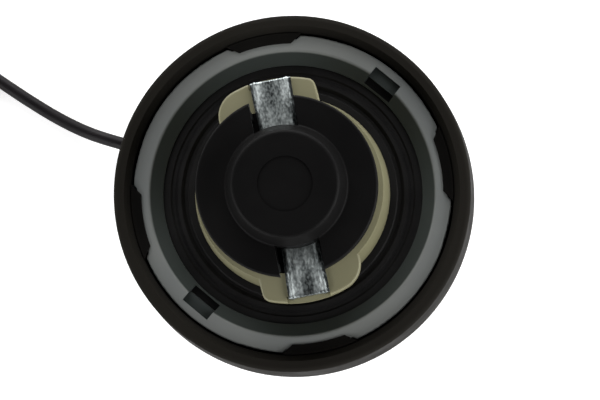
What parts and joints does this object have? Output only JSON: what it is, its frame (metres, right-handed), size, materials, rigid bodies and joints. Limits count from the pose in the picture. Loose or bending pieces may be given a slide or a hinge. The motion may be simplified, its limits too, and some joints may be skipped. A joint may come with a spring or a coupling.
{
  "type": "fuel filler cap",
  "caption": "Round bayonet fuel filler cap lying on its grip, plug and sealing side up, with a cord tether on a swivel ring.",
  "frame": {"origin": "centre of the cap's axis on the plane of the crown's flat land, the lowest plane of the cap as it lies", "axes": "+Z along the cap's axis, from the grip side towards the plug; +Y along the leaf strap; +X across it"},
  "size_m": [0.1519, 0.1007, 0.0447],
  "materials": {
    "cover_black": "fine moulded texture",
    "ring_grey": "smooth moulded",
    "ratchet_white": "smooth moulded",
    "plug_black": "satin moulded",
    "gasket_rubber": "satin",
    "bayonet_cream": "smooth moulded",
    "strap_zinc": "bright zinc plated",
    "spring_steel": "bright",
    "valve_white": "smooth moulded",
    "seal_rubber": "matt",
    "tether_black": "satin"
  },
  "bodies": {
    "cover": {"outer_cover": "cover_black", "retaining_ring": "ring_grey", "ratchet_ring": "ratchet_white"},
    "plug": {"plug_body": "plug_black", "neck_gasket": "gasket_rubber", "leaf_strap": "strap_zinc", "end_cap": "plug_black", "pressure_spring": "spring_steel", "spring_retainer": "valve_white"},
    "bayonet": {"bayonet_ring": "bayonet_cream"},
    "pressure_poppet": {"pressure_plate": "valve_white", "valve_seal": "seal_rubber", "vacuum_spring": "spring_steel"},
    "vacuum_poppet": {"vacuum_valve": "valve_white", "vacuum_seal": "seal_rubber", "stem_clip": "spring_steel"},
    "tether": {"tether_ring": "tether_black", "tether_lead": "tether_black", "tether_coil": "tether_black", "tether_anchor": "tether_black"}
  },
  "joints": [
    {"name": "plug_turn", "type": "hinge", "parent": "cover", "child": "plug", "pos_m": [0, 0, 0], "axis": [0, 0, 1], "range_deg": [-45, 0]},
    {"name": "bayonet_float", "type": "slide", "parent": "plug", "child": "bayonet", "axis": [0, 0, 1], "range_m": [0, 0.0005], "stiffness_N_per_m": 60000, "springref_m": -0.0004, "deforming": ["leaf_strap"]},
    {"name": "pressure_relief", "type": "slide", "parent": "plug", "child": "pressure_poppet", "axis": [0, 0, -1], "range_m": [0, 0.002], "stiffness_N_per_m": 500, "springref_m": -0.0073, "deforming": ["pressure_spring"]},
    {"name": "vacuum_relief", "type": "slide", "parent": "pressure_poppet", "child": "vacuum_poppet", "axis": [0, 0, 1], "range_m": [0, 0.0007], "stiffness_N_per_m": 150, "springref_m": -0.001, "deforming": ["vacuum_spring"]},
    {"name": "tether_swivel", "type": "hinge", "parent": "cover", "child": "tether", "pos_m": [0, 0, 0], "axis": [0, 0, 1], "continuous": true}
  ]
}
